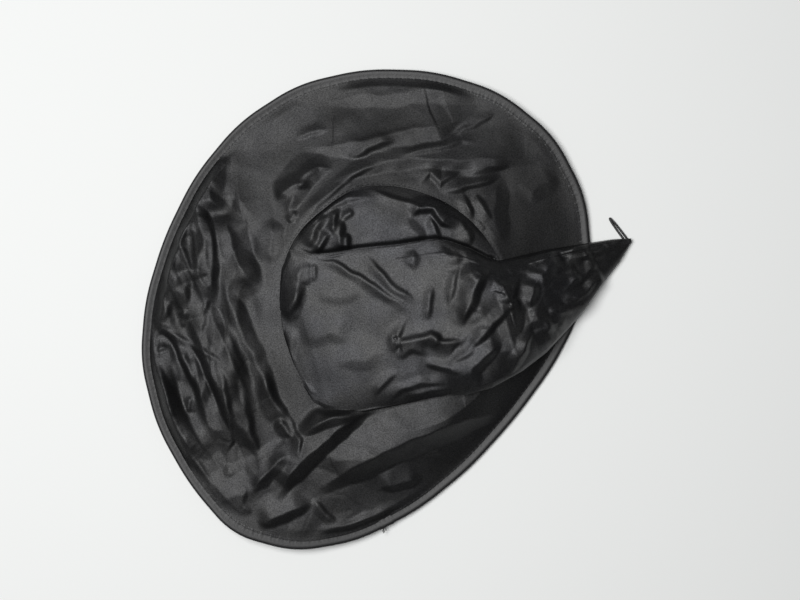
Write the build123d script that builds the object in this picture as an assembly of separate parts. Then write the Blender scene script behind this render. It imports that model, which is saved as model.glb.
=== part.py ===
from build123d import *
import math
import os

# A floppy witch's hat of thin woven fabric, lying on its brim with the cone fallen over to the right.
# A sprung wire hoop in the edge binding holds the brim out. The frame's origin is the centre of the head
# opening, at the lower edge of the sweatband, +Z is up and +X is the side that the cone has fallen to.
# Everything is in millimetres.

# Head opening and sweatband
HEAD_RADIUS = 93.0
BAND_HEIGHT = 20.0
BAND_THICKNESS = 1.2

# Brim
SEAM_RADIUS = 98.4  # where the brim is sewn to the crown
SEAM_HEIGHT = 19.2
PLY = 0.8  # thickness that stands for one ply of fabric
PLY_GAP = 0.2  # half of the gap between the brim's two plies
BRIM_SAG = 4.5
JOIN_ANGLE = 10.0  # the brim is cut as two halves, joined at this angle and opposite it
SECTIONS_PER_HALF = 20
BINDING_COVER = 4.6  # the brim's plies stop this far inside the hoop's line, within the binding

# Hoop and binding
WIRE_RADIUS = 1.1
CHANNEL_RADIUS = 1.2
BINDING_RADIUS = 2.4
BINDING_WIDTH = 7.5
LEAF_HALF_THICKNESS = 1.3
FERRULE_RADIUS = 1.7
FERRULE_LENGTH = 12.0
WIRE_END_GAP = 0.8
BINDING_END_GAP = 0.3
STITCH_PITCH = 8.0
STITCH_LENGTH = 3.2
STITCH_INSET = 1.2
LAP_THICKNESS = 0.5
LAP_CLEARANCE = 0.06
LAP_LENGTH = 11.0
THREAD_LENGTH = 4.0

# The hoop's line, anticlockwise from the cone's side. A slack hoop lies as a low saddle, out of round.
HOOP = [
    (163, 40, 4.0), (158, 92, 6.0), (132, 141, 10.0), (88, 176, 12.0), (34, 193, 10.0), (-22, 195, 6.0),
    (-76, 183, 3.5), (-124, 152, 3.5), (-160, 108, 5.0), (-184, 58, 8.0), (-199, 8, 10.0),
    (-203, -42, 10.0), (-190, -95, 10.0), (-163, -142, 13.0), (-128, -182, 16.0), (-78, -196, 14.0),
    (-28, -188, 9.0), (22, -163, 5.0), (64, -129, 3.5), (101, -88, 3.0), (131, -47, 3.0), (152, -7, 3.2),
]
BEND_SHARE = 0.38  # the share of each run that a bend at its end uses
FERRULE_RUN = 9  # the wire's ends meet at the middle of the run that leaves this point
LAP_RUN = 16  # the binding's ends meet, under a lap, at the middle of the run that leaves this point

# Crown
FALL_ANGLE = 16.0  # the cone has fallen this far round from +X
DOME_FOOT = 20.6
# Radius and height of the sunk lower crown's two surfaces, from its foot to its middle
DOME_OUTSIDE = [(98.2, 25.0), (95.5, 29.4), (88.0, 31.6), (76.0, 31.2), (55.0, 29.6), (0.0, 28.6)]
DOME_INSIDE = [(97.0, 24.6), (94.4, 28.3), (87.6, 30.4), (76.0, 30.0), (55.0, 28.4), (0.0, 27.4)]

# Sections of the folded cone: distance along the fall, centre and half width across it, bottom, top
MIDDLE_SECTIONS = [
    (15.0, -14.5, 62.0, 34.8, 50.0),
    (36.0, -17.0, 62.0, 34.8, 56.0),
    (60.0, -22.0, 59.0, 34.8, 58.0),
    (90.0, -30.0, 46.0, 34.8, 52.0),
]
TIP_SECTIONS = [
    (90.5, -30.0, 45.5, 34.8, 51.5),
    (113.0, -28.0, 40.0, 22.0, 42.0),
    (142.0, -21.0, 31.0, 11.5, 30.0),
    (170.0, -11.0, 19.0, 5.5, 18.0),
    (191.0, -5.0, 9.5, 3.6, 10.6),
    (204.0, 0.0, 3.0, 3.4, 7.6),
]
KNEE_WIDTH = 0.62  # where a section bends, as a share of its half width
KNEE_HEIGHT = 0.70  # and as a share of its half height

# Side seam of the crown, a felled strip on the fold's upper side
SEAM_STRIP_HALF_WIDTH = 2.5
SEAM_STRIP_THICKNESS = 0.7
SEAM_STRIP_ANGLE = 172.0

# Hanging loop
LOOP_RADIUS = 0.9
LOOP_START = 1.5  # from the hinge to the loop's ends
LOOP_REACH = 22.0
LOOP_HALF_GAP = 1.25
LOOP_DIRECTION = 127.0
LOOP_HINGE = (194.6, 55.8, 1.3)
TACK_RADIUS = 1.1
TACK_HEIGHT = 4.4

# Care label
LABEL_WIDTH = 26.0
LABEL_LENGTH = 34.0
LABEL_THICKNESS = 0.5
LABEL_ANGLE = 95.0
LABEL_HINGE_RADIUS = 89.0
LABEL_HEIGHT = 23.2


def polar(radius, angle, height=0.0):
    """A point at this radius and angle round the head opening."""
    turn = math.radians(angle)
    return Vector(radius * math.cos(turn), radius * math.sin(turn), height)


def hoop_line(corner, gap):
    """The hoop's line, once round from the middle of the run after a corner, left open by a gap there."""
    count = len(HOOP)
    ring = [Vector(*HOOP[(corner + 1 + i) % count]) for i in range(count)]
    radii = []
    for i in range(count):
        back = ring[i - 1] - ring[i]
        ahead = ring[(i + 1) % count] - ring[i]
        turn = math.radians(180.0 - back.get_angle(ahead))
        radii.append(BEND_SHARE * min(back.length, ahead.length) / math.tan(turn / 2))
    join = run_plane(corner)
    half_gap = join.z_dir * gap / 2
    return FilletPolyline(join.origin - half_gap, *ring, join.origin + half_gap, radius=radii)


def run_plane(corner):
    """A plane across the middle of the hoop's run after a corner, its x pointing outwards."""
    start, end = Vector(*HOOP[corner]), Vector(*HOOP[corner + 1])
    return upright_plane((start + end) / 2, end - start)


def tube_section(path, outer, inner=None):
    """A round section, or a ring, square to the start of a path."""
    plane = Plane(origin=path @ 0, z_dir=path % 0)
    ring = Circle(outer) if inner is None else Circle(outer) - Circle(inner)
    return plane * ring


def binding_section(plane, grow=0.0):
    """The edge tape's outline: a round edge over the wire with a flat leaf that points inwards."""
    width = BINDING_WIDTH + grow
    leaf = Pos(-width / 2, 0) * Rectangle(width, 2 * (LEAF_HALF_THICKNESS + grow))
    return plane * (Circle(BINDING_RADIUS + grow) + leaf)


def upright_plane(point, tangent):
    """A plane across the hoop: its x points away from the head opening, its y as near to +Z as it can."""
    along = Vector(*tangent).normalized()
    return Plane(origin=point, x_dir=along.cross(Vector(0, 0, 1)), z_dir=-along)


def hoop_table(path, samples=480):
    """(angle, radius, height) along the hoop's line, in order of angle."""
    rows = []
    for i in range(samples):
        p = path @ (i / samples)
        rows.append((math.degrees(math.atan2(p.Y, p.X)) % 360.0, math.hypot(p.X, p.Y), p.Z))
    return sorted(rows)


def hoop_at(table, angle):
    """Radius and height of the hoop's line at an angle round the head opening."""
    angle %= 360.0
    before = max((r for r in table if r[0] <= angle), default=table[-1])
    after = min((r for r in table if r[0] > angle), default=table[0])
    span = (after[0] - before[0]) % 360.0 or 1.0
    share = ((angle - before[0]) % 360.0) / span
    return tuple(before[k] + share * (after[k] - before[k]) for k in (1, 2))


def brim_line(table, angle, offset):
    """Points of one brim surface from the crown seam to the hoop, at this angle."""
    edge_radius, edge_height = hoop_at(table, angle)
    end_radius = edge_radius - BINDING_COVER
    points = []
    for i in range(5):
        s = i / 4
        radius = SEAM_RADIUS + s * (end_radius - SEAM_RADIUS)
        height = SEAM_HEIGHT + s * (edge_height - SEAM_HEIGHT) - BRIM_SAG * 4 * s * (1 - s)
        points.append(polar(radius, angle, height + offset))
    return points


def brim_half(table, start, low, high):
    """Half of one brim ply, between two offsets from the brim's middle surface."""
    faces = []
    for i in range(SECTIONS_PER_HALF + 1):
        angle = start + 180.0 * i / SECTIONS_PER_HALF
        under = Spline(brim_line(table, angle, low))
        over = Spline(brim_line(table, angle, high))
        loop = Wire([under, Line(under @ 1, over @ 1), over, Line(over @ 0, under @ 0)])
        faces.append(Face(loop))
    return Solid.make_loft([f.outer_wire() for f in faces])


def sweatband():
    """The ribbon that lines the head opening, and the lap where its ends meet."""
    ring = Circle(HEAD_RADIUS + BAND_THICKNESS) - Circle(HEAD_RADIUS)
    band = extrude(ring, BAND_HEIGHT)
    inner = HEAD_RADIUS + BAND_THICKNESS + 0.1
    strip = extrude(Circle(inner + 0.8) - Circle(inner), BAND_HEIGHT - 2)
    wedge = Pos(inner, 0, BAND_HEIGHT / 2) * Box(12, 13, BAND_HEIGHT)
    lap = Pos(0, 0, 1) * strip & Rot(0, 0, 100) * wedge
    return band, lap


def seam_allowance():
    """The turned edges of brim and crown, sewn together above the sweatband."""
    ring = Circle(SEAM_RADIUS - 2.0) - Circle(HEAD_RADIUS - 3.0)
    return Pos(0, 0, BAND_HEIGHT + 0.3) * extrude(ring, 1.0)


def dome():
    """The lower crown, sunk into a low dome over the head opening."""
    outside = [(DOME_OUTSIDE[0][0], DOME_FOOT)] + DOME_OUTSIDE
    inside = [(DOME_INSIDE[0][0], DOME_FOOT)] + DOME_INSIDE
    outline = Polyline(*[(r, 0, z) for r, z in outside + inside[::-1]], close=True)
    return revolve(make_face(outline), Axis.Z, 360)


def fall_point(along, across, height):
    """A point given by distance along and across the way that the cone has fallen."""
    turn = math.radians(FALL_ANGLE)
    return Vector(
        along * math.cos(turn) - across * math.sin(turn),
        along * math.sin(turn) + across * math.cos(turn),
        height,
    )


def fold_ring(along, centre, half_width, bottom, top):
    """The outline of the folded cone at one section, an eight-sided lens."""
    middle, half_height = (bottom + top) / 2, (top - bottom) / 2
    knee, rise = KNEE_WIDTH * half_width, KNEE_HEIGHT * half_height
    quarter = [(half_width, 0.0), (knee, rise), (0.0, half_height), (-knee, rise)]
    outline = quarter + [(-w, -h) for w, h in quarter]
    return [fall_point(along, centre + w, middle + h) for w, h in outline]


def folded_cone(sections):
    """A stretch of the folded cone, with flat sides between its sections."""
    wires = [Wire.make_polygon(fold_ring(*s), close=True) for s in sections]
    return Solid.make_loft(wires, ruled=True)


def fold_seam(sections):
    """The felled side seam that lies over the far knee of a stretch of the folded cone."""
    wires = []
    for along, centre, half_width, bottom, top in sections:
        half_height = (top - bottom) / 2
        reach = min(SEAM_STRIP_HALF_WIDTH, 0.3 * half_width)
        rise = (1 - KNEE_HEIGHT) * half_height / (KNEE_WIDTH * half_width) * reach
        drop = KNEE_HEIGHT * half_height / ((1 - KNEE_WIDTH) * half_width) * reach
        across = centre + KNEE_WIDTH * half_width
        height = (bottom + top) / 2 + KNEE_HEIGHT * half_height + 0.15
        low = [(-reach, height + rise), (0.0, height), (reach, height - drop)]
        high = [(w, h + SEAM_STRIP_THICKNESS) for w, h in low[::-1]]
        wires.append(Wire.make_polygon([fall_point(along, across + w, h) for w, h in low + high], close=True))
    return Solid.make_loft(wires, ruled=True)


def dome_seam():
    """The side seam's stretch inside the dome, under the sunk fabric."""
    profile = make_face(Polyline((28, 0, 27.0), (72, 0, 28.6), (72, 0, 27.8), (28, 0, 26.2), close=True))
    return Rot(0, 0, SEAM_STRIP_ANGLE) * revolve(profile, Axis.Z, 5)


def loop_frame():
    """A plane at the loop's hinge, its x pointing along the loop."""
    turn = math.radians(LOOP_DIRECTION)
    return Plane(origin=LOOP_HINGE, x_dir=(math.cos(turn), math.sin(turn), 0), z_dir=(0, 0, 1))


def hanging_loop():
    """The cord loop at the cone's tip, a hairpin with both ends at its tack."""
    start, end = LOOP_START, LOOP_START + LOOP_REACH
    corners = [(start, -LOOP_HALF_GAP), (end, -LOOP_HALF_GAP), (end, LOOP_HALF_GAP), (start, LOOP_HALF_GAP)]
    points = [loop_frame().from_local_coords(Vector(x, y, 0)) for x, y in corners]
    line = FilletPolyline(*points, radius=LOOP_HALF_GAP * 0.98)
    return sweep(tube_section(line, LOOP_RADIUS), path=line)


def bar_tack():
    """The round tack of thread that the loop turns about, sewn up into the tip."""
    return loop_frame() * Pos(0, 0, TACK_HEIGHT / 2 - LOOP_RADIUS) * Cylinder(TACK_RADIUS, TACK_HEIGHT)


def care_label():
    """A blank woven label, hinged on the crown seam and lying inwards under the dome."""
    centre = polar(LABEL_HINGE_RADIUS - LABEL_LENGTH / 2, LABEL_ANGLE, LABEL_HEIGHT)
    return Pos(*centre) * Rot(0, 0, LABEL_ANGLE) * Box(LABEL_LENGTH, LABEL_WIDTH, LABEL_THICKNESS)


def hoop_wire():
    """The sprung wire, and the ferrule that holds its two ends together."""
    line = hoop_line(FERRULE_RUN, WIRE_END_GAP)
    wire = sweep(tube_section(line, WIRE_RADIUS), path=line)
    tube = Cylinder(FERRULE_RADIUS, FERRULE_LENGTH) - Cylinder(WIRE_RADIUS + 0.08, FERRULE_LENGTH)
    return wire, run_plane(FERRULE_RUN) * tube


def edge_binding(line):
    """The tape sewn round the brim's edge, with a channel for the wire and room for the ferrule."""
    tape = sweep(binding_section(upright_plane(line @ 0, line % 0)), path=line)
    tape -= sweep(tube_section(line, CHANNEL_RADIUS), path=line)
    return tape - run_plane(FERRULE_RUN) * Cylinder(FERRULE_RADIUS + 0.1, FERRULE_LENGTH + 0.6)


def binding_lap():
    """The binding's free end, lapped over its start and open towards the brim."""
    join = run_plane(LAP_RUN)
    section = binding_section(join, LAP_CLEARANCE + LAP_THICKNESS) - binding_section(join, LAP_CLEARANCE)
    mouth = Rectangle(4 * LAP_THICKNESS, 2 * (LEAF_HALF_THICKNESS + LAP_CLEARANCE))
    section -= join * Pos(-BINDING_WIDTH - LAP_CLEARANCE, 0) * mouth
    return extrude(section, LAP_LENGTH / 2, dir=join.z_dir, both=True)


def binding_stitches(line):
    """One row of stitches along the inner edge of the binding's leaf."""
    count = round(line.length / STITCH_PITCH)
    stitches = []
    for i in range(1, count):
        plane = upright_plane(line @ (i / count), line % (i / count))
        spot = Pos(STITCH_INSET - BINDING_WIDTH, LEAF_HALF_THICKNESS + 0.1, 0)
        stitches.append(plane * spot * Box(0.5, 0.6, STITCH_LENGTH))
    return Compound(children=stitches)


def loose_thread():
    """The frayed corner of the lap, a small spike that stands out from the edge."""
    reach = BINDING_RADIUS + LAP_CLEARANCE + LAP_THICKNESS + 0.1 + THREAD_LENGTH / 2
    return run_plane(LAP_RUN) * Pos(reach, -0.5, 0) * Rot(0, 90, 0) * Cone(1.0, 0.2, THREAD_LENGTH)


def crown_stitches():
    """The stitches that join crown to brim, just outside the dome's foot."""
    ring = Rectangle(3.6, 0.5)
    stitch = extrude(ring, 0.4)
    places = [Rot(0, 0, a) * Pos(SEAM_RADIUS + 1.2, 0, SEAM_HEIGHT + 1.2) * Rot(0, 0, 90)
              for a in range(0, 360, 6)]
    return Compound(children=[p * stitch for p in places])


def main():
    os.makedirs("parts", exist_ok=True)
    wire, ferrule = hoop_wire()
    edge = hoop_line(LAP_RUN, BINDING_END_GAP)
    table = hoop_table(edge)
    band, band_lap = sweatband()
    upper, lower = (PLY_GAP, PLY_GAP + PLY), (-PLY_GAP - PLY, -PLY_GAP)
    parts = {
        "brim_hoop_wire": wire,
        "hoop_ferrule": ferrule,
        "edge_binding": edge_binding(edge),
        "edge_binding_lap": binding_lap(),
        "edge_binding_stitches": binding_stitches(edge),
        "edge_thread_end": loose_thread(),
        "brim_upper_panel_back": brim_half(table, JOIN_ANGLE, *upper),
        "brim_upper_panel_front": brim_half(table, JOIN_ANGLE + 180, *upper),
        "brim_lower_panel_back": brim_half(table, JOIN_ANGLE, *lower),
        "brim_lower_panel_front": brim_half(table, JOIN_ANGLE + 180, *lower),
        "sweatband": band,
        "sweatband_lap": band_lap,
        "crown_seam_allowance": seam_allowance(),
        "crown_seam_stitches": crown_stitches(),
        "care_label": care_label(),
        "crown_lower_panel": dome(),
        "crown_side_seam_lower": dome_seam(),
        "crown_middle_panel": folded_cone(MIDDLE_SECTIONS),
        "crown_side_seam_middle": fold_seam(MIDDLE_SECTIONS),
        "crown_tip_panel": folded_cone(TIP_SECTIONS),
        "crown_side_seam_tip": fold_seam(TIP_SECTIONS),
        "tip_bar_tack": bar_tack(),
        "hanging_loop": hanging_loop(),
    }
    for name, shape in parts.items():
        export_step(shape, f"parts/{name}.step")


main()
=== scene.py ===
import math

import bpy
import numpy as np
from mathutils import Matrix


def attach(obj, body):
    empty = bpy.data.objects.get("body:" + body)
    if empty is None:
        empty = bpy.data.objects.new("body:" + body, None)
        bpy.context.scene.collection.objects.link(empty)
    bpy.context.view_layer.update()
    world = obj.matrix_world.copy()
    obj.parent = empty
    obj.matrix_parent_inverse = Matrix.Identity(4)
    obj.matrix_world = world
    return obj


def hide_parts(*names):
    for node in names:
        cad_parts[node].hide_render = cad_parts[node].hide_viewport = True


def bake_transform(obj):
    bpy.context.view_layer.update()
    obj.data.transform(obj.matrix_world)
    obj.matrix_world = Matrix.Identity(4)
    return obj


# A floppy witch's hat of black taffeta, lying on its brim with its cone fallen over to the right.
# Lengths are in millimetres until a mesh is made. Angles go round the head opening from +X.

MM = 0.001
FALL = math.radians(16.0)  # the way the cone has fallen, round from +X

# The wire hoop's corners as (x, y, height), anticlockwise from the cone's side
HOOP = [
    (163, 40, 4.0), (158, 92, 6.0), (132, 141, 10.0), (88, 176, 12.0), (34, 193, 10.0), (-22, 195, 6.0),
    (-76, 183, 3.5), (-124, 152, 3.5), (-160, 108, 5.0), (-184, 58, 8.0), (-199, 8, 10.0),
    (-203, -42, 10.0), (-190, -95, 10.0), (-163, -142, 13.0), (-128, -182, 16.0), (-78, -196, 14.0),
    (-28, -188, 9.0), (22, -163, 5.0), (64, -129, 3.5), (101, -88, 3.0), (131, -47, 3.0), (152, -7, 3.2),
]
BEND_SHARE = 0.38  # share of the shorter side beside a corner that its rounded bend takes up
BEND_POINTS = 9
BINDING_REACH = 4.6  # how far inside the hoop the brim's cloth ends, under the tape
RING_REACH = 99.5  # radius that the band and the seam allowance hold the brim up to
CREASE_RADIUS = 0.8  # how blunt the cloth's creases are
SHADE = (0.92, -0.39)  # direction away from the lamp
FOLD_ENDS = 0.32  # share of a fold's length over which each end dies away
FOLD_BEND = 0.5  # about how far a fold strays from its line
WAVE_COUNT = 48  # waves in a stretch of uneven ground
FOLDINGS = 14  # times the plane is folded to make facets
SEAM_HEIGHT = 21.6
SAG = 4.5  # about twice the brim's deepest hang between the head opening and the hoop
BRIM_TILT = 0.12

# Rows and columns of the cloths' grids, and counts of steps and stitches
BRIM_GRID = (84, 1180)
UNDER_GRID = (34, 480)
FLOOR_GRID = (100, 700)
EDGE_STEPS = 1100
BAND_STEPS = 360
SETTLE_STEPS = 50
SEAM_STITCHES = 150

# Angle and radius of the seam between brim and crown: slack fabric, so not a true circle
SEAM = [
    (0, 96), (30, 96), (50, 96.5), (74, 97.5), (88, 99.5), (105, 102), (124, 97.5), (138, 97), (149, 95.5),
    (158, 94), (175, 89), (187, 89), (201, 89), (215, 91), (229, 96), (238, 91), (246, 85), (256, 78),
    (275, 70), (294, 70), (305, 72), (320, 80), (340, 90), (360, 96),
]

# Folds in the brim: (height, width of the steep side, width of the gentle side, points along the steep side)
BRIM_FOLDS = [
    # back of the brim
    (2.6, 11, 33, [(-56, 169), (-30, 169), (0, 170), (25, 174), (50, 173), (80, 168)]),
    (4.6, 12, 36, [(-74, 132), (-48, 128), (-22, 130), (0, 137), (20, 141), (38, 142), (52, 150), (76, 158)]),
    (2.6, 4, 9, [(-34, 121), (-18, 129), (6, 137)]),
    (1.4, 3, 7, [(52, 139), (68, 148), (86, 160)]),
    (1.5, 3, 7, [(-80, 140), (-62, 143), (-50, 147)]),
    (3.6, 9, 27, [(-56, 100), (-30, 109), (0, 116), (20, 118), (44, 117), (80, 118), (110, 119), (134, 117)]),
    (2.4, 4, 9, [(-78, 60), (-58, 82), (-38, 101), (-24, 111), (-4, 123)]),
    (1.8, 3, 7, [(4, 121), (22, 127), (40, 130), (58, 136), (72, 134)]),
    (2.6, 4, 9, [(22, 101), (32, 108), (40, 100), (50, 106), (58, 112)]),
    (2.8, 4, 9, [(38, 94), (58, 96), (74, 101), (92, 107)]),
    (2.6, 4, 9, [(58, 107), (78, 112), (98, 116)]),
    (3.4, 4, 9, [(59, 97), (64, 82), (65, 66), (70, 48)]),
    (2.2, 3, 7, [(69, 94), (76, 85), (83, 72)]),
    (1.8, 3, 7, [(70, 73), (77, 63)]),
    (2, 12, 36, [(92, 110), (90, 80), (94, 50)]),
    (1.2, 10, 30, [(112, 84), (126, 98), (140, 104)]),
    # left side of the brim
    (8, 19, 24, [(-133, 76), (-138, 95), (-140, 112), (-135, 128)]),
    (3.2, 7, 21, [(-168, 96), (-174, 72)]),
    (5.4, 9, 22, [(-160, 104), (-151, 70), (-144, 40), (-140, 4)]),
    (6.8, 16, 28, [(-131, 88), (-123, 60), (-116, 38), (-103, 14)]),
    (2.6, 10, 14, [(-97, 34), (-91, 50), (-91, 62), (-98, 76)]),
    (2.6, 5, 11, [(-92, 88), (-76, 99), (-66, 97)]),
    (4, 9, 20, [(-84, 74), (-75, 90), (-65, 104), (-48, 113)]),
    (2, 4, 9, [(-76, 104), (-58, 114), (-46, 113)]),
    (1.8, 4, 9, [(-82, 68), (-74, 80)]),
    (2.6, 7, 21, [(-178, 52), (-166, 64), (-156, 62)]),
    (3.4, 8, 24, [(-180, 14), (-168, 26), (-152, 30), (-150, 58)]),
    (2.6, 5, 11, [(-170, 40), (-164, 22), (-166, 2)]),
    (4.6, 10, 30, [(-136, 30), (-124, 2), (-112, -24), (-101, -50), (-94, -70), (-83, -88)]),
    (3.2, 7, 21, [(-132, -8), (-124, -32), (-112, -60)]),
    (2.8, 4, 9, [(-140, -40), (-133, -60), (-130, -84), (-128, -108), (-136, -122)]),
    (2.8, 4, 9, [(-120, -62), (-114, -88), (-109, -110), (-106, -122)]),
    (3, 8, 24, [(-142, -46), (-150, -72), (-162, -90)]),
    (0.8, 4, 9, [(-130, -124), (-128, -138)]),
    (1.8, 3, 7, [(-192, -36), (-181, -32)]),
    (2.6, 5, 11, [(-181, -26), (-174, -46), (-171, -60)]),
    (2.4, 4, 9, [(-167, -30), (-163, -48), (-160, -62)]),
    (2.4, 4, 9, [(-159, -36), (-155, -54), (-152, -66)]),
    (2, 4, 9, [(-184, -12), (-178, 6), (-180, 20)]),
    (2, 4, 9, [(-168, -16), (-165, 0)]),
    (2.2, 4, 9, [(-153, -22), (-150, -4), (-146, 10)]),
    (2.2, 4, 9, [(-182, -70), (-174, -96), (-166, -114), (-150, -134), (-142, -146)]),
    (2, 3, 7, [(-162, -70), (-164, -86)]),
    (1.2, 4, 9, [(-118, -144), (-118, -158), (-112, -168)]),
    # front of the brim
    (8.5, 10, 24, [(-94, -158), (-78, -138), (-62, -121), (-46, -107), (-30, -94), (-14, -82)]),
    (6, 8, 12, [(-76, -104), (-56, -95), (-36, -88), (-10, -81)]),
    (4, 5.5, 12, [(-102, -48), (-96, -66), (-89, -80), (-78, -92)]),
    (3.6, 4, 9, [(-90, -86), (-78, -104)]),
    (2.6, 3, 7, [(-84, -84), (-72, -106), (-74, -122)]),
    (4.6, 8, 24, [(-112, -150), (-96, -134), (-80, -118)]),
    (5, 8, 24, [(-108, -180), (-86, -170), (-62, -160)]),
    (9.5, 15, 30, [
        (-66, -152), (-40, -141), (-20, -131), (0, -121), (22, -112), (44, -103), (66, -95), (98, -86),
    ]),
    (3, 6, 18, [(-12, -148), (6, -146), (28, -140)]),
    (2, 3, 7, [(-64, -154), (-52, -165), (-42, -174)]),
    (2.4, 3, 7, [(-60, -184), (-30, -178), (-8, -170), (14, -159)]),
    (2, 4, 9, [(26, -121), (44, -119)]),
]
RADIAL_SEAM = [(-197, -9), (-180, -18), (-160, -28), (-144, -36), (-128, -50)]

# The cone's two edges, as (distance along the fall, distance across it)
FAR_EDGE = [
    (-90, 8), (-88, 20), (-84, 36), (-76, 56), (-65, 69), (-56, 64), (-50, 59.5), (-36, 56.5), (-11, 53.5),
    (21, 47.7), (40, 45.5), (52, 43.5), (62, 38), (75, 28.7), (88, 17), (95, 13.5), (114, 12.7), (135, 11.7),
    (169, 7.7), (190, 5.0), (205.5, 1.5),
]
NEAR_EDGE = [
    (-90, -8), (-89, -20), (-86, -38), (-81, -55), (-72, -64), (-60, -71), (-43, -74), (-14, -76.2),
    (11, -77.4), (28, -78.8), (39, -83), (61, -83), (88, -77.2), (112, -68.7), (134, -56.3), (150.6, -45.8),
    (170, -29.9), (182.5, -20.8), (191, -14.8), (205.5, -1.5),
]

# Heights along the fall, as (distance along it, height)
TOP_HEIGHT = [
    (-90, 22.2), (-80, 25.3), (-70, 28), (-50, 31.5), (-20, 35.5), (15, 40), (45, 43), (70, 46),
    (86, 46), (100, 41.5), (120, 34), (145, 23), (170, 14.5), (190, 9), (205.5, 5.5),
]
UNDER_HEIGHT = [
    (-90, 21.5), (-70, 26.6), (-40, 27.8), (15, 33), (60, 36), (90, 34), (112, 22.5), (142, 12),
    (170, 6), (205.5, 2.5),
]
FAR_HEIGHT = [
    (-90, 22.2), (-76, 24), (-65, 26.5), (-50, 29.5), (-20, 32.5), (15, 36), (45, 39), (70, 37),
    (88, 30.5), (100, 27), (120, 19.5), (145, 12), (170, 7.5), (205.5, 3.8),
]
NEAR_HEIGHT = [
    (-90, 22.2), (-80, 24), (-72, 25), (-43, 27), (0, 30.5), (30, 33), (61, 35), (88, 31),
    (112, 20), (134, 11.5), (150, 8.5), (170, 6.5), (205.5, 3.4),
]

# Folds in the crown's upper side, in the same form
CROWN_FOLDS = [
    (3.4, 6, 18, [(-71, 44), (-70, 22), (-75, 6), (-87, -9)]),
    (2.6, 8, 24, [(-66, 18), (-74, 2), (-84, -12)]),
    (1.8, 3, 7, [(-66, 40), (-65, 18)]),
    (1.5, 2.5, 6, [(-60, 38), (-60, 22)]),
    (2.4, 3, 7, [(-66, 42), (-46, 39), (-34, 33), (-18, 23), (-4, 14), (8, 6), (22, -2)]),
    (2.2, 3, 7, [(-20, 46), (-8, 32), (2, 20), (14, 12), (24, 6)]),
    (1, 7, 21, [(-60, 8), (-40, 6), (-20, 12)]),
    (0.9, 8, 24, [(-46, -45), (-20, -46), (-4, -36)]),
    (1, 8, 24, [(-72, -30), (-50, -24), (-30, -26)]),
    (3.2, 4, 9, [(14, -4), (11, -14), (7, -24), (20, -22), (32, -19), (42, -25), (56, -24), (58, -34)]),
    (1.6, 3, 7, [(40, -18), (38, -32)]),
    (2, 3, 7, [(35, 20), (33, 2), (29, -10)]),
    (2.2, 3, 7, [(54, 36), (51, 16), (46, 2)]),
    (5, 6, 18, [(80, 36), (71, 16), (64, 0), (57, -16)]),
    (1.8, 5, 11, [(18, 50), (22, 40), (18, 30)]),
    (1.6, 5, 11, [(40, 52), (48, 44), (60, 42)]),
    (3.6, 6, 18, [(82, 24), (92, 20), (95, 8), (84, 6)]),
    (2.8, 4, 9, [(103, 26), (98, 8), (106, -2)]),
    (4.2, 5, 11, [(119, 26), (117, 12), (112, -2)]),
    (4.4, 9, 27, [(122, 16), (126, 26), (142, 41)]),
    (3, 4, 9, [(60, -34), (76, -22), (88, -8), (98, 2)]),
    (2.6, 3, 7, [(24, -44), (40, -48), (58, -51)]),
    (1.6, 3, 7, [(48, -44), (60, -38), (70, -30)]),
    (5, 7, 21, [(70, -64), (68, -50), (78, -40), (90, -27)]),
    (3.6, 4, 9, [(114, -16), (109, -34), (97, -53)]),
    (2.6, 4, 9, [(126, -2), (138, -4), (150, -2)]),
    (3.4, 6, 18, [(124, -20), (134, -14), (142, -18)]),
    (1.6, 3, 7, [(-14, -72), (-4, -60), (6, -50)]),
    (1.8, 3, 7, [(-4, -76), (10, -66), (24, -61), (48, -60)]),
    (1.8, 3, 7, [(10, -72), (28, -68), (50, -66)]),
    (1.8, 3, 7, [(4, -40), (18, -34), (30, -38)]),
    (3.2, 5, 11, [(104, 45), (122, 46), (140, 44), (160, 50), (182, 57)]),
    (3.4, 5, 11, [(142, 40), (162, 42), (180, 50), (194, 57)]),
    (2.6, 4, 9, [(138, 12), (152, 22), (166, 32), (174, 40)]),
    (2.2, 3, 7, [(146, 38), (150, 28), (156, 20)]),
    (2.2, 3, 7, [(148, 4), (160, 12), (170, 26)]),
]

# Folds in the sunk fabric behind the cone
FLOOR_FOLDS = [
    (4, 5, 11, [(14, 74), (24, 79), (34, 78), (41, 68), (54, 63)]),
    (2.6, 3, 7, [(42, 52), (37, 64), (33, 76)]),
    (3.2, 4, 9, [(-44, 58), (-44, 72), (-41, 84)]),
    (3.2, 4, 9, [(-39, 44), (-39, 60), (-38, 76)]),
    (2.8, 3, 7, [(-34, 46), (-34, 62)]),
    (3.2, 4, 9, [(-60, 44), (-52, 54), (-46, 62)]),
    (4, 6, 18, [(-66, 48), (-60, 62), (-50, 76)]),
    (2.4, 3, 7, [(-70, 62), (-52, 80), (-36, 88), (-14, 88)]),
    (1.8, 3, 7, [(-40, 72), (-28, 78)]),
    (1.8, 3, 7, [(-18, 97), (4, 92), (24, 84), (34, 74)]),
    (1.4, 6, 18, [(12, 76), (20, 66), (30, 58)]),
    (1.4, 2.5, 6, [(24, 86), (44, 80), (60, 70)]),
    (2, 4, 9, [(56, 74), (64, 64), (66, 50)]),
]


def rising(value, start, over):
    """A share that climbs from 0 at start to 1 a distance over later."""
    return np.clip((value - start) / over, 0, 1)


def falling(value, end, over):
    """A share that drops from 1 to 0 over a distance, reaching 0 at end."""
    return np.clip((end - value) / over, 0, 1)


def along_curve(table, where):
    """Values of a table of (position, value) rows at these positions."""
    rows = np.array(table, float)
    return np.interp(where, rows[:, 0], rows[:, 1])


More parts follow.
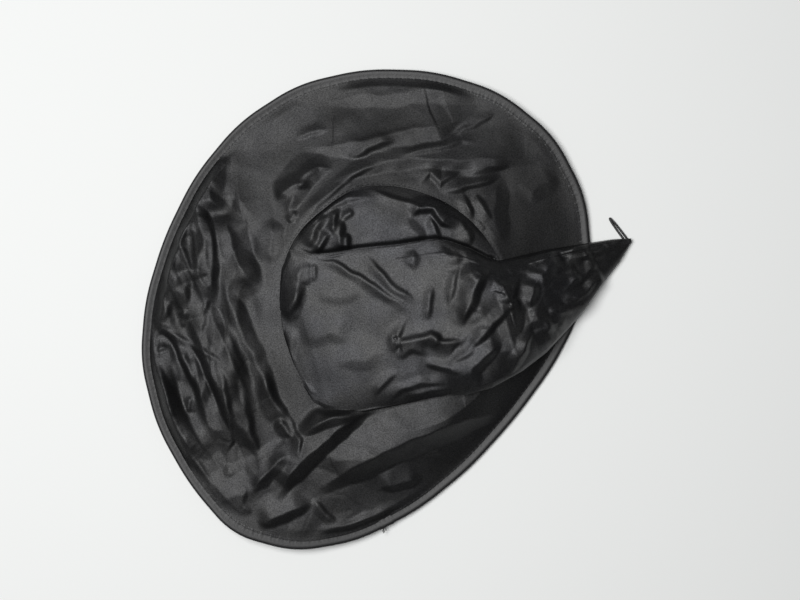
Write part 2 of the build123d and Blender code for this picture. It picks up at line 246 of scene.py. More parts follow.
def hoop_points():
    """The hoop's line, with a rounded bend at each corner."""
    corners = np.array(HOOP, float)
    ahead = np.roll(corners, -1, 0) - corners
    run = np.linalg.norm(ahead, axis=1)
    reach = BEND_SHARE * np.minimum(run, np.roll(run, 1))
    points = []
    for i, corner in enumerate(corners):
        back = -ahead[i - 1] / run[i - 1]
        start, end = corner + back * reach[i], corner + ahead[i] / run[i] * reach[i]
        for t in np.linspace(0, 1, BEND_POINTS):
            points.append((1 - t) ** 2 * start + 2 * t * (1 - t) * corner + t * t * end)
    return np.array(points)


def even_steps(points, count):
    """A closed line cut into this many even steps."""
    closed = np.vstack([points, points[:1]])
    run = np.concatenate([[0], np.cumsum(np.linalg.norm(np.diff(closed, axis=0), axis=1))])
    where = np.linspace(0, run[-1], count, endpoint=False)
    return np.stack([np.interp(where, run, closed[:, k]) for k in range(3)], 1)


def edge_at(angles):
    """Radius and height of the hoop's line at these angles."""
    line = even_steps(hoop_points(), 2000)
    turn = np.degrees(np.arctan2(line[:, 1], line[:, 0])) % 360
    order = np.argsort(turn)
    radius = np.hypot(line[:, 0], line[:, 1])[order]
    return [np.interp(angles, turn[order], v, period=360) for v in (radius, line[order, 2])]


def along_line(x, y, line):
    """Each point's distance from a line, side of it and share of the way along it, and the line's length."""
    steps = np.linalg.norm(np.diff(line, axis=0), axis=1)
    whole = steps.sum()
    nearest = np.full_like(x, 1e9)
    side, along = np.zeros_like(x), np.zeros_like(x)
    run = 0.0
    for a, b, step in zip(line, line[1:], steps):
        dx, dy = (b - a) / step
        t = np.clip((x - a[0]) * dx + (y - a[1]) * dy, 0, step)
        off = np.hypot(x - a[0] - t * dx, y - a[1] - t * dy)
        closer = off < nearest
        nearest = np.where(closer, off, nearest)
        side = np.where(closer, dx * (y - a[1]) - dy * (x - a[0]), side)
        along = np.where(closer, (run + t) / whole, along)
        run += step
    return nearest, side, along, whole


def folds(x, y, table):
    """Height of folds: each has a steep side along its line, turned from the lamp, and a gentle back."""
    height = np.zeros_like(x)
    bend_x = x + FOLD_BEND * waves(x, y, 301, 12, 50)
    bend_y = y + FOLD_BEND * waves(x, y, 302, 12, 50)
    for rise, steep, gentle, points in table:
        line = np.array(points, float)
        nearest, side, along, whole = along_line(bend_x, bend_y, line)
        chord = line[-1] - line[0]
        away = 1.0 if chord[0] * SHADE[1] - chord[1] * SHADE[0] > 0 else -1.0
        fade = rising(np.minimum(along, 1 - along), 0, FOLD_ENDS)
        fade = fade * fade * (3 - 2 * fade)
        width = steep * (0.35 + 0.65 * fade)
        back = min(gentle, 0.4 * whole)
        place = nearest * np.sign(side) * away + 0.5 * width
        fall, climb = 1 - place / width, 1 + place / back
        blunt = np.minimum(0.7, CREASE_RADIUS * (1 / width + 1 / back))
        tent = 0.5 * (fall + climb - np.sqrt((fall - climb) ** 2 + blunt ** 2))
        height += rise * fade * 0.5 * (tent + np.sqrt(tent ** 2 + 0.3 * blunt ** 2))
    return height


def waves(x, y, seed, shortest, longest):
    """Gentle uneven ground made of many small waves, about 1 high."""
    rng = np.random.default_rng(seed)
    total = np.zeros_like(x)
    for _ in range(WAVE_COUNT):
        length = shortest * (longest / shortest) ** rng.random()
        turn = rng.random() * math.tau
        phase = rng.random() * math.tau
        total += np.sin((x * math.cos(turn) + y * math.sin(turn)) * math.tau / length + phase)
    return total / math.sqrt(WAVE_COUNT / 2)


def creased(x, y, seed, size, direction=None, spread=1.0):
    """Flat facets about this size with straight creases, 0 to about 1, from folding the plane repeatedly."""
    rng = np.random.default_rng(seed)
    lie = direction or 0.0
    stretch = 1.0 if direction is None else 3.0
    across = x * math.cos(lie) + y * math.sin(lie)
    along = (y * math.cos(lie) - x * math.sin(lie)) / stretch
    flat_x = x + 0.2 * size * waves(across, along, seed + 1, 2 * size, 6 * size)
    flat_y = y + 0.2 * size * waves(across, along, seed + 2, 2 * size, 6 * size)
    for _ in range(FOLDINGS):
        turn = rng.random() * math.tau if direction is None else direction + spread * rng.normal()
        place = flat_x * math.cos(turn) + flat_y * math.sin(turn)
        reach = place.max() - place.min()
        middle = place.min() + reach * (0.42 + 0.16 * rng.random())
        if reach > 1.6 * size:
            over = 0.5 * (place - middle + np.sqrt((place - middle) ** 2 + CREASE_RADIUS ** 2))
            flat_x = flat_x - 2 * over * math.cos(turn)
            flat_y = flat_y - 2 * over * math.sin(turn)
    turn = rng.random() * math.tau if direction is None else direction
    place = flat_x * math.cos(turn) + flat_y * math.sin(turn)
    patch = np.clip(0.5 + 0.6 * waves(across, along, seed + 3, 2 * size, 6 * size), 0.08, 1)
    return patch * (place - place.min()) / size


THREAD, SHEAR, BENDING = 1.0, 0.7, 0.05
# Springs from each point of a cloth to another, as (rows on, columns on, strength)
SPRINGS = [(0, 1, THREAD), (1, 0, THREAD), (1, 1, SHEAR), (1, -1, SHEAR), (0, 2, BENDING), (2, 0, BENDING)]
DAMPING = 0.85
GRAVITY = 0.0003
RELAXING = 1.5


def rest_lengths(cloth, grow):
    """The length that each spring keeps, which is its length in this cloth times grow."""
    rows = cloth.shape[0]
    rest = []
    for di, dj, _ in SPRINGS:
        gap = np.roll(cloth, -dj, 1)[di:] - cloth[: rows - di]
        factor = 0.5 * (np.roll(grow, -dj, 1)[di:] + grow[: rows - di])
        rest.append(np.linalg.norm(gap, axis=2) * factor)
    return rest


def spring_push(now, rest, ring):
    """The springs' push on each point, and the strength of all the springs that reach it."""
    rows = now.shape[0]
    push = np.zeros_like(now)
    share = np.zeros(now.shape[:2])
    for (di, dj, strength), length in zip(SPRINGS, rest):
        gap = np.roll(now, -dj, 1)[di:] - now[: rows - di]
        far = np.maximum(np.linalg.norm(gap, axis=2), 1e-6)
        pull = (0.5 * strength * (far - length) / far)[:, :, None] * gap
        if not ring and dj > 0:
            pull[:, -dj:] = 0
        if not ring and dj < 0:
            pull[:, :-dj] = 0
        push[: rows - di] += pull
        push[di:] -= np.roll(pull, dj, 1)
        share[: rows - di] += strength
        share[di:] += strength
    return push, share


def settle(cloth, floor, grow, pinned, ring):
    """Lets a sheet of cloth buckle a little over a floor: its threads keep their length, times grow."""
    rest = rest_lengths(cloth, grow)
    now, before = cloth.copy(), cloth.copy()
    free = (~pinned)[:, :, None]
    for _ in range(SETTLE_STEPS):
        push, share = spring_push(now, rest, ring)
        speed = DAMPING * (now - before)
        before = now
        now = now + free * (speed + RELAXING * push / share[:, :, None])
        now[:, :, 2] = np.maximum(now[:, :, 2] - GRAVITY * free[:, :, 0], floor)
    return now


def smooth_mesh(name, points, faces):
    """A smooth mesh from points in metres, put into the scene."""
    mesh = bpy.data.meshes.new(name)
    mesh.from_pydata(points, [], faces)
    mesh.shade_smooth()
    thing = bpy.data.objects.new(name, mesh)
    bpy.context.scene.collection.objects.link(thing)
    return thing


def sheet_mesh(name, grid, ring=False, flip=False):
    """A smooth mesh of quads from a grid of points, closed round its second direction if it is a ring."""
    rows, columns = grid.shape[:2]
    number = np.arange(rows * columns).reshape(rows, columns)
    last = columns if ring else columns - 1
    a, b = number[:-1, :last], np.roll(number, -1, 1)[:-1, :last]
    c, d = np.roll(number, -1, 1)[1:, :last], number[1:, :last]
    quads = np.stack([a, b, c, d] if not flip else [a, d, c, b], 2).reshape(-1, 4)
    return smooth_mesh(name, (grid.reshape(-1, 3) * MM).tolist(), quads.tolist())


def finish_piece(thing, material, body, stands_for=()):
    """Gives a piece its material and its CAD body, and hides the CAD nodes it stands for."""
    thing.data.materials.append(material)
    if body:
        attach(thing, body)
    if stands_for:
        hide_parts(*stands_for)
    return thing


def principled(name, color, roughness):
    """A material of one colour and roughness."""
    material = bpy.data.materials.new(name)
    material.use_nodes = True
    shader = material.node_tree.nodes["Principled BSDF"]
    shader.inputs["Base Color"].default_value = (*color, 1)
    shader.inputs["Roughness"].default_value = roughness
    return material


def noise(nodes, links, scale, detail=2.0, stretch=None):
    """A noise texture fixed to the piece, stretched if asked."""
    place = nodes.new("ShaderNodeTexCoord")
    texture = nodes.new("ShaderNodeTexNoise")
    texture.inputs["Scale"].default_value = scale
    texture.inputs["Detail"].default_value = detail
    source = place.outputs["Object"]
    if stretch:
        mapping = nodes.new("ShaderNodeMapping")
        mapping.inputs["Scale"].default_value = stretch
        links.new(source, mapping.inputs["Vector"])
        source = mapping.outputs["Vector"]
    links.new(source, texture.inputs["Vector"])
    return texture.outputs["Fac"]


def ramp(nodes, links, source, stops):
    """A colour ramp driven by a value."""
    node = nodes.new("ShaderNodeValToRGB")
    while len(node.color_ramp.elements) < len(stops):
        node.color_ramp.elements.new(0.5)
    for element, (place, color) in zip(node.color_ramp.elements, stops):
        element.position = place
        element.color = (*color, 1)
    links.new(source, node.inputs["Fac"])
    return node.outputs["Color"]


def taffeta(name, base, roughness, blue=0.0):
    """Thin woven polyester: nearly black, with a soft gloss that level facets throw back."""
    material = principled(name, base, roughness)
    nodes, links = material.node_tree.nodes, material.node_tree.links
    shader = nodes["Principled BSDF"]
    shader.inputs["Specular IOR Level"].default_value = 0.46
    grain = noise(nodes, links, 1100, 1.0)
    links.new(gloss_tint(nodes, links, grain, blue), shader.inputs["Specular Tint"])
    rough = nodes.new("ShaderNodeMapRange")
    rough.inputs["To Min"].default_value = roughness - 0.05
    rough.inputs["To Max"].default_value = roughness + 0.05
    links.new(noise(nodes, links, 60, 2.0), rough.inputs["Value"])
    links.new(rough.outputs["Result"], shader.inputs["Roughness"])
    weave = bump(nodes, links, grain, 0.25, 0.0003)
    soft = bump(nodes, links, noise(nodes, links, 120, 3.0, (1.0, 0.6, 1.0)), 0.06, 0.0012)
    links.new(weave.outputs["Normal"], soft.inputs["Normal"])
    links.new(soft.outputs["Normal"], shader.inputs["Normal"])
    return material


def gloss_tint(nodes, links, grain, blue):
    """The colour of taffeta's gloss: speckled by its weave, and bluer in patches."""
    cloud = noise(nodes, links, 26, 3.0)
    bluer = (1 - 0.20 * blue, 1 - 0.12 * blue, 1 + 0.35 * blue)
    tint = ramp(nodes, links, cloud, [(0.40, (1, 1, 1)), (0.64, bluer)])
    speckle = ramp(nodes, links, grain, [(0.30, (0.62, 0.62, 0.62)), (0.70, (1.38, 1.38, 1.38))])
    mixed = nodes.new("ShaderNodeMix")
    mixed.data_type = "RGBA"
    mixed.blend_type = "MULTIPLY"
    mixed.inputs["Factor"].default_value = 1.0
    links.new(tint, mixed.inputs["A"])
    links.new(speckle, mixed.inputs["B"])
    return mixed.outputs["Result"]


def bump(nodes, links, height, strength, distance):
    """Small relief that follows a texture's height."""
    relief = nodes.new("ShaderNodeBump")
    relief.inputs["Strength"].default_value = strength
    relief.inputs["Distance"].default_value = distance
    links.new(height, relief.inputs["Height"])
    return relief


def ribbed(name, base, roughness, scale, stretch, depth):
    """A ribbon, tape, thread or label with a fine raised grain."""
    material = principled(name, base, roughness)
    nodes, links = material.node_tree.nodes, material.node_tree.links
    shader = nodes["Principled BSDF"]
    height = noise(nodes, links, scale, 1.0, stretch)
    links.new(bump(nodes, links, height, 0.5, depth).outputs["Normal"], shader.inputs["Normal"])
    dark, light = tuple(0.75 * c for c in base), tuple(1.25 * c for c in base)
    links.new(ramp(nodes, links, height, [(0.3, dark), (0.7, light)]), shader.inputs["Base Color"])
    return material


def steel(name, base, roughness):
    """Drawn steel with a fine raised grain."""
    material = ribbed(name, base, roughness, 300, (1.0, 1.0, 0.2), 0.0001)
    material.node_tree.nodes["Principled BSDF"].inputs["Metallic"].default_value = 1.0
    return material


def brim_base(turn, share, inner):
    """The plain brim's point between the seam (share 0) and the inside of its binding (share 1)."""
    edge, height = edge_at(turn)
    start = along_curve(SEAM, turn) if inner is None else np.full_like(turn, inner)
    radius = start + share * (edge - BINDING_REACH - start)
    beyond = rising(radius, RING_REACH, edge - BINDING_REACH - RING_REACH)
    sag = SAG * np.clip((edge - RING_REACH) / 100, 0.2, 1)
    tilt = BRIM_TILT * np.clip(RING_REACH - radius, 0, 30)
    eased = 0.8 * beyond + 0.2 * beyond ** 2 * (3 - 2 * beyond)
    rise = SEAM_HEIGHT + tilt + eased * (height - SEAM_HEIGHT) - 2 * sag * beyond * (1 - beyond)
    angle = np.radians(turn)
    return radius * np.cos(angle), radius * np.sin(angle), rise


def ring_grid(size, inner):
    """Angles in degrees and shares of the way out, from inner to 1, for a ring with this grid."""
    rows, columns = size
    return np.meshgrid(np.linspace(0, 360, columns, endpoint=False), np.linspace(inner, 1, rows))


def brim_upper():
    """The brim's upper ply: its big folds, then crumpled and settled as cloth."""
    turn, share = ring_grid(BRIM_GRID, 0)
    x, y, z = brim_base(turn, share, None)
    angle = np.radians(turn)
    hold = rising(share, 0, 0.08) * falling(share, 1, 0.08)
    left = rising(-x, 95, 50) * falling(np.abs(y + 20), 150, 60)
    front = rising(-y, 80, 40) * falling(x, 40, 40)
    back = rising(y, 70, 40) * falling(x, 70, 60)
    long_facets = creased(x, y, 11, 17, math.radians(18), 0.22)
    diagonal = creased(x, y, 21, 22, math.radians(-58), 0.2)
    level_facets = creased(x, y, 51, 26, math.radians(84), 0.15)
    rise = folds(x, y, BRIM_FOLDS) + 2.8 * left * long_facets + 1.8 * front * diagonal
    rise += 0.8 * back * level_facets + 0.2 * waves(x, y, 5, 24, 90)
    rise += 0.45 * left * creased(x, y, 45, 8, math.radians(14), 0.5)
    seam = folds(x, y, [(1.6, 3, 5, RADIAL_SEAM)])
    ripple = np.abs(np.sin(angle * 61 + 2 * np.sin(angle * 7)))
    gather = 0.35 * rising(share, 0.84, 0.12) * left * ripple
    lift = 1.0 + hold * (rise + seam) + gather
    cloth = np.stack([x, y, z + lift], 2)
    pinned = (share < 0.001) | (share > 0.985)
    grow = 1.002 + 0.004 * left + 0.003 * front
    return settle(cloth, z + 0.2, grow, pinned, True)


def brim_under():
    """The brim's underside ply, nearly smooth."""
    turn, share = ring_grid(UNDER_GRID, 0)
    x, y, z = brim_base(turn, share, 98.0)
    z = z - 1.6 * (1 - share)
    hold = rising(share, 0, 0.1) * falling(share, 1, 0.1)
    drop = 0.5 + hold * (0.5 + 0.35 * waves(x, y, 31, 18, 60) + 0.7 * creased(x, y, 41, 30))
    return np.stack([x, y, np.maximum(z - drop, 0.9)], 2)


def binding():
    """The edge tape round the wire, drawn in a little by its stitches."""
    line = even_steps(hoop_points(), EDGE_STEPS)
    section = np.array([
        (-7.4, 0.75), (-6.6, 1.05), (-5.6, 1.0), (-4.0, 1.1), (-2.4, 1.35), (-1.2, 1.65), (0.4, 1.8),
        (1.7, 1.35), (2.3, 0.2), (1.8, -1.3), (0.5, -2.2), (-1.2, -2.0), (-2.6, -1.4), (-4.4, -1.0),
        (-6.4, -1.0), (-7.4, -0.5),
    ])
    ahead = np.roll(line, -1, 0) - np.roll(line, 1, 0)
    out = np.stack([ahead[:, 1], -ahead[:, 0], np.zeros(len(line))], 1)
    out /= np.linalg.norm(out, axis=1)[:, None]
    index = np.arange(len(line))
    pucker = 0.22 * np.sin(index * 1.9 + 2.2 * np.sin(index * 0.13)) + 0.15 * np.sin(index * 0.83)
    grid = np.zeros((len(section), len(line), 3))
    for row, (across, up) in enumerate(section):
        loose = rising(-across, 2, 5)
        grid[row] = line + out * (across + 0.5 * pucker * loose)[:, None]
        grid[row, :, 2] += up + 0.8 * pucker * loose * np.sign(up)
    return np.concatenate([grid, grid[:1]]), line, out


def bar_faces(base, sides, flip=False):
    """Faces of a bar with four rings of points, closed at both ends."""
    faces = []
    for start in range(base, base + 3 * sides, sides):
        for k in range(sides):
            p, q = start + k, start + (k + 1) % sides
            faces.append((p, p + sides, q + sides, q) if flip else (p, q, q + sides, p + sides))
    order = range(sides) if flip else range(sides - 1, -1, -1)
    faces.append(tuple(base + k for k in order))
    faces.append(tuple(base + 3 * sides + k for k in reversed(order)))
    return faces


def stitch_row(name, line, out, inset, height, every, length, radius):
    """A row of short threads along a line, each a small tapered bar."""
    sides = 5
    verts, faces = [], []
    for i in range(0, len(line), every):
        at = line[i] + out[i] * inset
        ahead = np.cross(np.array([0, 0, 1.0]), out[i])
        faces += bar_faces(len(verts), sides, flip=True)
        for s, r in ((-0.5, 0.45), (-0.25, 1.0), (0.25, 1.0), (0.5, 0.45)):
            for k in range(sides):
                a = math.tau * k / sides
                side = out[i] * math.cos(a) * radius * r
                up = np.array([0, 0, (height + math.sin(a) * radius * r) * MM])
                verts.append((at + ahead * s * length + side) * MM + up)
    return smooth_mesh(name, [tuple(v) for v in verts], faces)


def turned(along, across, turn=FALL):
    """The x and y of distances along and across a direction, which is the fall unless given."""
    return (
        along * math.cos(turn) - across * math.sin(turn),
        along * math.sin(turn) + across * math.cos(turn),
    )


CONE_COLUMNS = np.concatenate([np.linspace(-90, -80, 11)[:-1], np.linspace(-80, 205.5, 230)])
CONE_ROWS = np.sin(np.linspace(-1, 1, 121) * math.pi / 2)
CUTS = (15.0, 90.25)  # places along the fall where the crown's middle and tip stretches start


def cone_heights(along, share):
    """Heights of the crown's upper and under sides; share is -1 at its near edge and 1 at its far one."""
    near, far = along_curve(NEAR_HEIGHT, along), along_curve(FAR_HEIGHT, along)
    edge = 0.5 * (near + far) + 0.5 * (far - near) * share
    upper = edge + (along_curve(TOP_HEIGHT, along) - edge) * (1 - np.abs(share) ** 3) ** 0.7
    under = edge + (along_curve(UNDER_HEIGHT, along) - edge) * (1 - share ** 2)
    return upper, np.minimum(under, upper)


def cone_upper():
    """The crown's upper side, from the seam at the left to the tip, crumpled and settled as cloth."""
    along, share = np.meshgrid(CONE_COLUMNS, CONE_ROWS)
    near, far = along_curve(NEAR_EDGE, along), along_curve(FAR_EDGE, along)
    across = 0.5 * (near + far) + 0.5 * (far - near) * share
    x, y = turned(along, across)
    height, under = cone_heights(along, share)
    hold = falling(np.abs(share), 1, 0.07)
    crumple = rising(along, 38, 30) * falling(along, 150, 30)
    tip = rising(along, 105, 25)
    middle = np.clip(1 - np.abs(along - 25) / 45, 0, 1)
    rise = folds(x, y, CROWN_FOLDS)
    rise += 2.5 * crumple * creased(x, y, 61, 13)
    rise += 1.8 * tip * creased(x, y, 65, 9, FALL + math.radians(88), 0.12)
    rise += 3.0 * tip * creased(x, y, 68, 12, FALL + math.radians(12), 0.3)
    rise += 1.2 * middle * creased(x, y, 71, 15, math.radians(10), 0.3)
    rise += 0.25 * waves(x, y, 81, 24, 80)
    rise *= np.clip((205 - along) / 25, 0.15, 1)
    cloth = np.stack([x, y, height + hold * rise], 2)
    pinned = (np.abs(share) > 0.995) | (along < -88.5) | (along > 204)
    grow = 1.002 + 0.006 * crumple
    return settle(cloth, np.minimum(under + 0.8, height), grow, pinned, False)


def cone_under(upper):
    """The crown's underside, from one folded edge to the other."""
    rows = np.linspace(-1, 1, 41)
    along, share = np.meshgrid(CONE_COLUMNS, rows)
    grid = 0.5 * (upper[0] + upper[-1]) + 0.5 * (upper[-1] - upper[0]) * rows[:, None, None]
    under = cone_heights(along, share)[1]
    slack = 0.8 * creased(grid[:, :, 0], grid[:, :, 1], 91, 22) * (1 - share ** 2)
    grid[:, :, 2] = under - slack
    return grid


def crown_floor():
    """The lower crown's sunk fabric, inside the seam."""
    turn, share = ring_grid(FLOOR_GRID, 0.02)
    radius = along_curve(SEAM, turn) * share
    angle = np.radians(turn)
    x, y = radius * np.cos(angle), radius * np.sin(angle)
    inside = along_curve(SEAM, turn) - radius
    slope = rising(inside, 0, 24)
    height = SEAM_HEIGHT + 0.3 + 4.4 * slope * (2 - slope)
    hold = rising(inside, 0, 3)
    behind = rising(y, 30, 15)
    rise = folds(x, y, FLOOR_FOLDS) + 0.25 * waves(x, y, 101, 22, 70) + 0.5 * creased(x, y, 105, 18)
    fall_along = x * math.cos(FALL) + y * math.sin(FALL)
    past_cone = y * math.cos(FALL) - x * math.sin(FALL) - along_curve(FAR_EDGE, fall_along)
    tuck = 2.4 * np.exp(-((past_cone - 0.6) / 2.4) ** 2) * rising(fall_along, -62, 20)
    return np.stack([x, y, height + hold * (behind * rise - tuck)], 2)


def ring_band(name, radius, low, high, thick, wave):
    """A closed ring of ribbon, a little wavy."""
    angle = np.linspace(0, math.tau, BAND_STEPS, endpoint=False)
    section = [(0, 0), (0.15, 0.5), (0, 1), (1, 1), (0.85, 0.5), (1, 0), (0, 0)]
    grid = np.zeros((len(section), BAND_STEPS, 3))
    sway = wave * (np.sin(7 * angle) + 0.6 * np.sin(13 * angle + 1.0)) / 1.6
    for row, (depth, up) in enumerate(section):
        far = radius + depth * thick + np.abs(sway) * 0.4
        level = np.full(BAND_STEPS, low + (high - low) * up)
        grid[row] = np.stack([far * np.cos(angle), far * np.sin(angle), level], 1)
        grid[row, :, 2] += 0.6 * sway * (up if low > 10 else up * 0.5)
    return sheet_mesh(name, grid, ring=True)


def thread_bars(name, bars, radius):
    """Short rounded threads, each from one point to another."""
    sides = 6
    verts, faces = [], []
    for a, b in bars:
        a, b = np.array(a, float), np.array(b, float)
        ahead = (b - a) / np.linalg.norm(b - a)
        side = np.cross(ahead, [0.1, 0.2, 0.97])
        side /= np.linalg.norm(side)
        up = np.cross(side, ahead)
        faces += bar_faces(len(verts), sides)
        for t, r in ((0, 0.4), (0.12, 1.0), (0.88, 1.0), (1, 0.4)):
            for k in range(sides):
                turn = math.tau * k / sides
                reach = (side * math.cos(turn) + up * math.sin(turn)) * radius * r
                verts.append((a + (b - a) * t + reach) * MM)
    return smooth_mesh(name, [tuple(v) for v in verts], faces)


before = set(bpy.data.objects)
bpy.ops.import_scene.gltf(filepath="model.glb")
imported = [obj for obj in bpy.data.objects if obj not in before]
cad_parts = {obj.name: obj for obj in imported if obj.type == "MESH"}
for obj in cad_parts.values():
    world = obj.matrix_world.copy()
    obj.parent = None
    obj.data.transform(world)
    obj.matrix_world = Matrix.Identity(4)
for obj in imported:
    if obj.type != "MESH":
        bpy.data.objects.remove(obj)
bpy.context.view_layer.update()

BLACK = (0.0022, 0.0022, 0.0024)
upper_cloth = taffeta("taffeta_upper", BLACK, 0.53, 0.05)
crown_cloth = taffeta("taffeta_crown", (0.0022, 0.0022, 0.0025), 0.51, 0.12)
under_cloth = taffeta("taffeta_under", (0.010, 0.010, 0.011), 0.46)
tape = ribbed("edge_tape", (0.005, 0.005, 0.0055), 0.50, 900, (1.0, 1.0, 1.0), 0.0002)
ribbon = ribbed("sweatband_ribbon", (0.020, 0.020, 0.022), 0.5, 500, (3.0, 3.0, 0.2), 0.0003)
thread = ribbed("thread", (0.016, 0.016, 0.018), 0.5, 1500, (1.0, 1.0, 1.0), 0.0001)
cord_cloth = ribbed("loop_cord", (0.014, 0.014, 0.015), 0.5, 1200, (1.0, 1.0, 1.0), 0.0002)
label_cloth = ribbed("label_weave", (0.78, 0.77, 0.73), 0.6, 1400, (1.0, 1.0, 1.0), 0.0001)
spring_steel = steel("spring_steel", (0.50, 0.50, 0.52), 0.32)
crimped_steel = steel("crimped_steel", (0.56, 0.56, 0.57), 0.38)

# Brim
upper = sheet_mesh("brim_upper_fabric", brim_upper(), ring=True, flip=True)
finish_piece(upper, upper_cloth, "brim", ["brim_upper_panel_back", "brim_upper_panel_front"])
under = sheet_mesh("brim_under_fabric", brim_under(), ring=True)
finish_piece(under, under_cloth, "brim", ["brim_lower_panel_back", "brim_lower_panel_front"])
tape_grid, line, out = binding()
edge = sheet_mesh("edge_tape", tape_grid, ring=True)
finish_piece(edge, tape, "brim", ["edge_binding"])
stitches = stitch_row("edge_stitching", line, out, -5.6, 1.4, 4, 2.7, 0.2)
finish_piece(stitches, thread, "brim", ["edge_binding_stitches"])

LAP_PLACE = (-3, -175.5)  # where the tape's ends overlap
LAP_GROWTH = np.array([1.10, 1.10, 1.28])
nearest = int(np.argmin(np.hypot(line[:, 0] - LAP_PLACE[0], line[:, 1] - LAP_PLACE[1])))
span = [(nearest + k) % len(line) for k in range(-5, 6)]
middle = tape_grid[:, span].mean(0)
lap = sheet_mesh("edge_tape_lap", middle + (tape_grid[:, span] - middle) * LAP_GROWTH)
finish_piece(lap, tape, "brim", ["edge_binding_lap"])
root = line[nearest] + out[nearest] * 2.2 - np.array([4.0, 1.6, 0.4])
# Each loose thread's two ends, from the root of the tuft
LOOSE_THREADS = [
    ((0, 0, 0), (1.2, -4.2, 0.6)), ((0.5, 0, 0), (-0.6, -3.6, -0.2)), ((-0.5, 0.2, 0.3), (0.4, -4.8, 1.0)),
    ((0.9, 0.2, 0), (2.6, -2.8, 0.2)), ((-1.0, 0.3, 0), (-2.0, -2.2, 0.4)),
]
tuft = thread_bars("edge_loose_threads", [(root + start, root + end) for start, end in LOOSE_THREADS], 0.28)
finish_piece(tuft, thread, "brim", ["edge_thread_end"])

# Head opening
band = ring_band("sweatband_ribbon", 93.0, 0.1, 20.0, 1.2, 0.5)
finish_piece(band, ribbon, "brim", ["sweatband"])
allowance = ring_band("seam_allowance", 90.4, 20.3, 21.1, 6.0, 0.7)
finish_piece(allowance, under_cloth, "brim", ["crown_seam_allowance"])
turns = np.linspace(0, math.tau, SEAM_STITCHES, endpoint=False)
seam_bars = []
for turn in turns:
    radius = float(along_curve(SEAM, math.degrees(turn))) + 1.4
    half = 1.3 / radius
    ends = (turn - half, turn + half)
    seam_bars.append([(radius * math.cos(end), radius * math.sin(end), SEAM_HEIGHT + 1.25) for end in ends])
seam_stitches = thread_bars("crown_seam_stitching", seam_bars, 0.22)
finish_piece(seam_stitches, thread, "brim", ["crown_seam_stitches"])
CAD_LOOKS = [("sweatband_lap", ribbon), ("brim_hoop_wire", spring_steel), ("hoop_ferrule", crimped_steel)]
for name, material in CAD_LOOKS:
    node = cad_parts[name]
    node.data.materials.clear()
    node.data.materials.append(material)

# Crown
cone = cone_upper()
below = cone_under(cone)
tube = np.concatenate([cone, below[-2:0:-1]]).transpose(1, 0, 2)
first = int(np.argmin(np.abs(CONE_COLUMNS - CUTS[0])))
second = int(np.argmin(np.abs(CONE_COLUMNS - CUTS[1])))
base_piece = sheet_mesh("crown_lower_fabric", tube[: first + 1], ring=True)
finish_piece(base_piece, crown_cloth, "brim", ["crown_lower_panel"])
middle_piece = sheet_mesh("crown_middle_fabric", tube[first : second + 1], ring=True)
finish_piece(middle_piece, crown_cloth, None, ["crown_middle_panel"])
tip_piece = sheet_mesh("crown_tip_fabric", tube[second:], ring=True)
finish_piece(tip_piece, crown_cloth, None, ["crown_tip_panel"])
sunk = sheet_mesh("crown_sunk_fabric", crown_floor(), ring=True, flip=True)
finish_piece(sunk, crown_cloth, "brim")


STRIP_ROWS = slice(94, 99)
STRIP_LIFT = [0.05, 0.28, 0.32, 0.28, 0.05]


def seam_strip(name, low, high):
    """The felled side seam, a narrow strip that follows the crown's upper side."""
    strip = cone[STRIP_ROWS, low : high + 1].copy()
    strip[:, :, 2] += np.array(STRIP_LIFT)[:, None]
    return sheet_mesh(name, strip, flip=True)


strip_middle = seam_strip("crown_seam_middle", first, second)
finish_piece(strip_middle, crown_cloth, None, ["crown_side_seam_middle"])
strip_tip = seam_strip("crown_seam_tip", second, len(CONE_COLUMNS) - 6)
finish_piece(strip_tip, crown_cloth, None, ["crown_side_seam_tip"])
along, across = np.meshgrid(np.linspace(28, 72, 30), np.linspace(-2.2, 2.2, 5))
LOW_SEAM_TURN = math.radians(174.5)
low_seam = np.stack([*turned(along, across, LOW_SEAM_TURN), 24.6 + 0.4 * np.cos(across)], 2)
strip_low = sheet_mesh("crown_seam_lower", low_seam)
finish_piece(strip_low, under_cloth, "brim", ["crown_side_seam_lower"])


for piece in (middle_piece, strip_middle):
    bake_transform(piece)
for piece in (tip_piece, strip_tip):
    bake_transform(piece)

# Loop, its tack and the label
LOOP_HINGE = np.array([194.6, 55.8, 1.3])
LOOP_TURN = math.radians(127)
LOOP_AHEAD = np.array([math.cos(LOOP_TURN), math.sin(LOOP_TURN), 0])
LOOP_SIDE = np.array([-LOOP_AHEAD[1], LOOP_AHEAD[0], 0])
LOOP_START, LOOP_END, LOOP_HALF = 1.5, 23.5, 1.25
LOOP_CORNERS = [
    (LOOP_START, -LOOP_HALF), (LOOP_END, -LOOP_HALF), (LOOP_END, LOOP_HALF), (LOOP_START, LOOP_HALF),
]
CORD_RADIUS = 0.0009
route = [LOOP_HINGE + LOOP_AHEAD * ahead + LOOP_SIDE * aside for ahead, aside in LOOP_CORNERS]
curve = bpy.data.curves.new("hanging_loop_cord", "CURVE")
curve.dimensions = "3D"
spline = curve.splines.new("NURBS")
spline.points.add(3)
for point, at in zip(spline.points, route):
    point.co = (*(at * MM), 1)
spline.order_u = 3
spline.use_endpoint_u = True
spline.resolution_u = 24
curve.bevel_depth = CORD_RADIUS
curve.bevel_resolution = 4
loop = bpy.data.objects.new("hanging_loop_cord", curve)
bpy.context.scene.collection.objects.link(loop)
curve.materials.append(cord_cloth)
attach(loop, "hanging_loop")
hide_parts("hanging_loop")
TACK_THREADS = 9
tack_bars = []
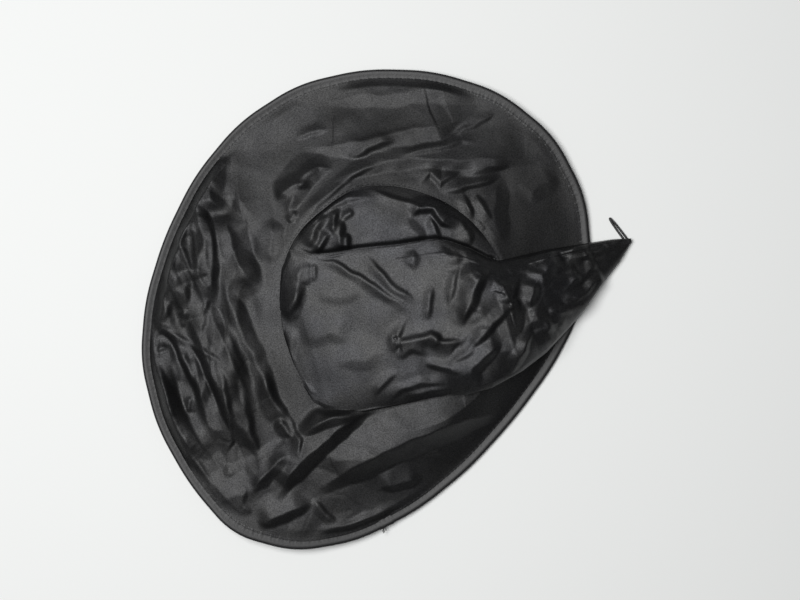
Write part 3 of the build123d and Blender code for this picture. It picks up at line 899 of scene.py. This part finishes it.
for k in range(TACK_THREADS):
    spin = k * 0.7
    lean = np.array([math.cos(spin), math.sin(spin), 0]) * 0.65
    foot = LOOP_HINGE + lean - np.array([0, 0, 0.7])
    tack_bars.append((foot, LOOP_HINGE - 0.4 * lean + np.array([0, 0, 3.4])))
tack = thread_bars("tip_tack_threads", tack_bars, 0.42)
finish_piece(tack, thread, "crown_tip", ["tip_bar_tack"])

LABEL_TURN = math.radians(95)
LABEL_START, LABEL_END, LABEL_HALF = 55, 89, 13
LABEL_HEIGHT = 23.2
far, side = np.meshgrid(np.linspace(LABEL_START, LABEL_END, 30), np.linspace(-LABEL_HALF, LABEL_HALF, 24))
bow = np.sin((LABEL_END - far) / (LABEL_END - LABEL_START) * math.pi) * np.cos(side / LABEL_HALF)
curl = LABEL_HEIGHT + 0.35 * bow - 0.25 * np.cos(side / 4)
label_grid = np.stack([*turned(far, side, LABEL_TURN), curl], 2)
label = sheet_mesh("blank_label", label_grid)
finish_piece(label, label_cloth, "care_label", ["care_label"])

# Floor, light and camera
bpy.ops.mesh.primitive_plane_add(size=6, location=(0, 0, -0.0004))
floor = bpy.context.object
floor.name = "floor"
paint = principled("pale_floor", (0.86, 0.87, 0.86), 0.85)
floor.data.materials.append(paint)

world = bpy.data.worlds.new("soft_room")
bpy.context.scene.world = world
bpy.context.scene.view_settings.view_transform = "Standard"
world.use_nodes = True
world.node_tree.nodes["Background"].inputs["Color"].default_value = (0.97, 0.985, 1.0, 1)
world.node_tree.nodes["Background"].inputs["Strength"].default_value = 0.08
lamp = bpy.data.lights.new("overhead", "AREA")
lamp.shape = "DISK"
lamp.size = 1.3
lamp.energy = 43
lamp_object = bpy.data.objects.new("overhead", lamp)
lamp_object.location = (-0.54, 0.22, 1.95)
lamp_object.rotation_euler = (-lamp_object.location).to_track_quat("-Z", "Y").to_euler()
bpy.context.scene.collection.objects.link(lamp_object)

SENSOR = 36
VIEW_DISTANCE = 1.25
VIEW_WIDTH = 0.656  # width of the floor that the camera sees from that distance
camera = bpy.data.cameras.new("from_above")
camera.sensor_width = SENSOR
camera.lens = SENSOR * VIEW_DISTANCE / VIEW_WIDTH
camera_object = bpy.data.objects.new("from_above", camera)
camera_object.location = (0.0074, 0.0074, 1.258)
bpy.context.scene.collection.objects.link(camera_object)
bpy.context.scene.camera = camera_object
